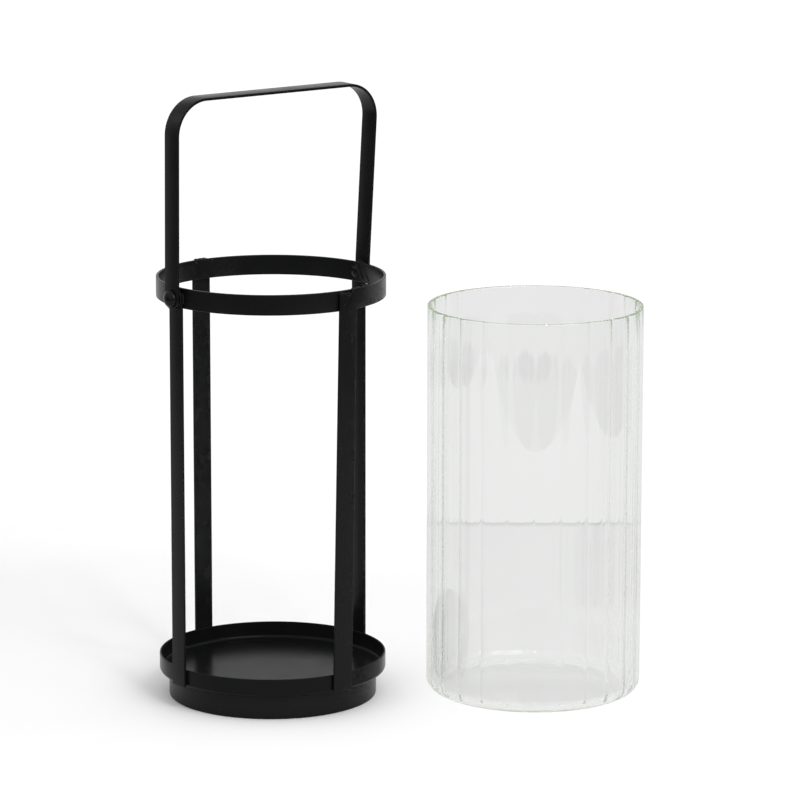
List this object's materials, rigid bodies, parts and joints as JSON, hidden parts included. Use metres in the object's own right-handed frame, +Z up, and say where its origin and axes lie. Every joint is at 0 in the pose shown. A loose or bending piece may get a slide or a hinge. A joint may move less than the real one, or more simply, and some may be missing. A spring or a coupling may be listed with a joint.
{
  "type": "hurricane candle lantern",
  "caption": "Black flat-bar candle lantern: round footed tray, upright bars, a top band and a swinging bail handle, with a tall fluted clear glass cylinder standing beside it.",
  "frame": {"origin": "centre of the foot's underside, on the table", "axes": "+Z up along the cage's own axis; +X runs from the cage towards the loose glass as the picture's viewer sees it, left to right; +Y away from that viewer. The bail's pivot axis lies in the horizontal plane, 40.4 degrees anticlockwise of +X seen from above."},
  "size_m": [0.2695, 0.1342, 0.3407],
  "materials": {
    "black_paint": "black satin powder coat on steel, slight orange peel",
    "clear_glass": "clear, faint green tint, blown thin with narrow vertical ribs between wide flutes, polished rim"
  },
  "bodies": {
    "cage": {"foot": "black_paint", "tray": "black_paint", "upper_ring": "black_paint", "upright_front_left": "black_paint", "upright_back_left": "black_paint", "upright_front_right": "black_paint", "upright_back_right": "black_paint", "rivet_left": "black_paint", "rivet_right": "black_paint", "washer_left": "black_paint", "washer_right": "black_paint"},
    "bail": {"bail_handle": "black_paint"},
    "glass": {"glass_cylinder": "clear_glass"}
  },
  "joints": [
    {"name": "bail_swing", "type": "hinge", "parent": "cage", "child": "bail", "pos_m": [-0.00123, 0.00145, 0.2318], "axis": [0.7615, 0.6481, 0], "range_deg": [-142, 90]},
    {"name": "glass_lift", "type": "slide", "parent": "cage", "child": "glass", "axis": [0, 0, 1], "range_m": [0, 0.3]}
  ]
}
